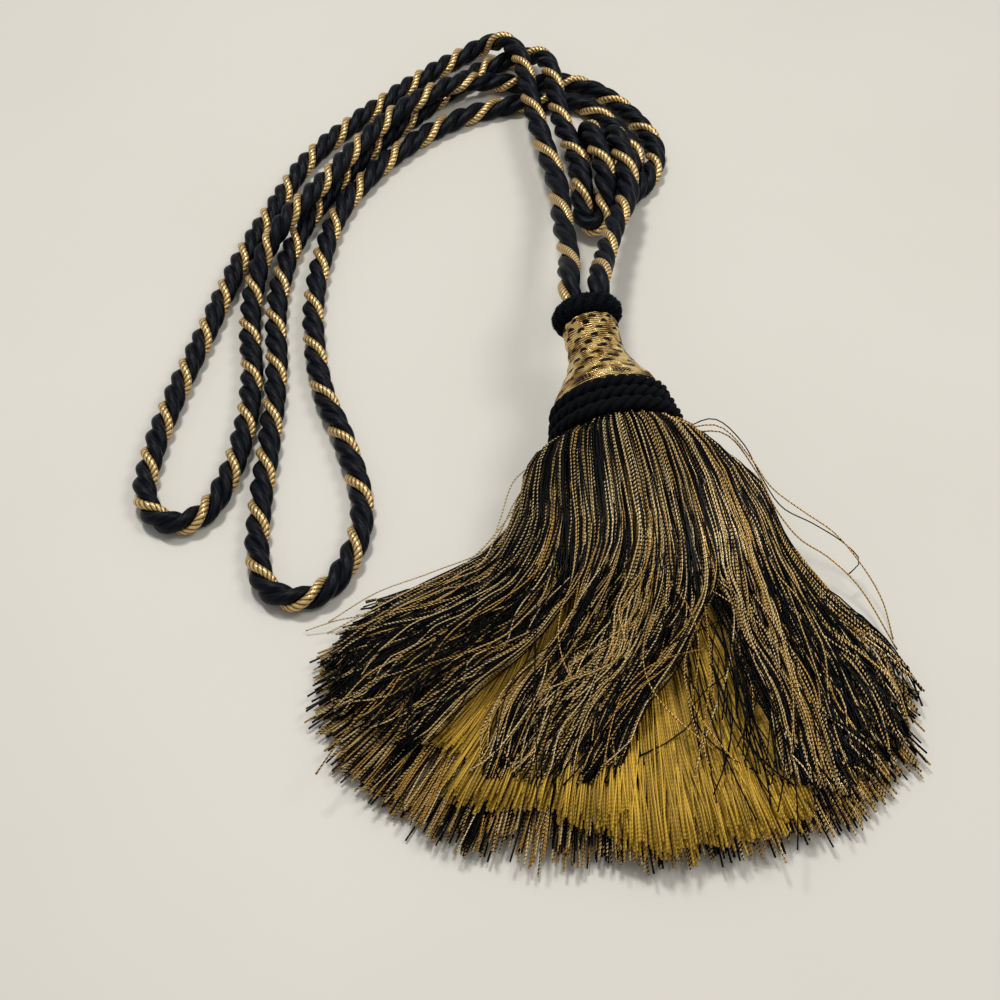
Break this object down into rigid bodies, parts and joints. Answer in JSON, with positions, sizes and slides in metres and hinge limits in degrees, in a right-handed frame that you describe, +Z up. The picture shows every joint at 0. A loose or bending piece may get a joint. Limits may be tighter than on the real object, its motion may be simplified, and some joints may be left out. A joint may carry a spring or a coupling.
{
  "type": "curtain tieback tassel",
  "caption": "Curtain tieback of twisted rope with two hanging loops and a knot, ending in a thread-wound head and a full yarn skirt.",
  "frame": {"origin": "on the resting surface, below the centre of the tassel's bounding box (the rope left out)", "axes": "+Z up from the resting surface, +Y along the tassel from the skirt's hem towards the rope, +X to the right"},
  "size_m": [0.3074, 0.4999, 0.056],
  "materials": {
    "rope_satin": "twisted satin and metallic strands",
    "gold_thread": "metallic thread wound round a mould",
    "black_plush": "short black pile",
    "black_cord": "dull twisted cord",
    "two_ply_yarn": "black and gold twisted yarn",
    "mustard_cotton": "soft cotton yarn"
  },
  "bodies": {
    "root": {"rope": "rope_satin", "tassel_head": "gold_thread", "neck_ring": "black_plush", "collar_row_1": "black_cord", "collar_row_2": "black_cord", "collar_row_3": "black_cord", "skirt_yarns": "two_ply_yarn", "skirt_cotton_core": "mustard_cotton"}
  },
  "joints": []
}
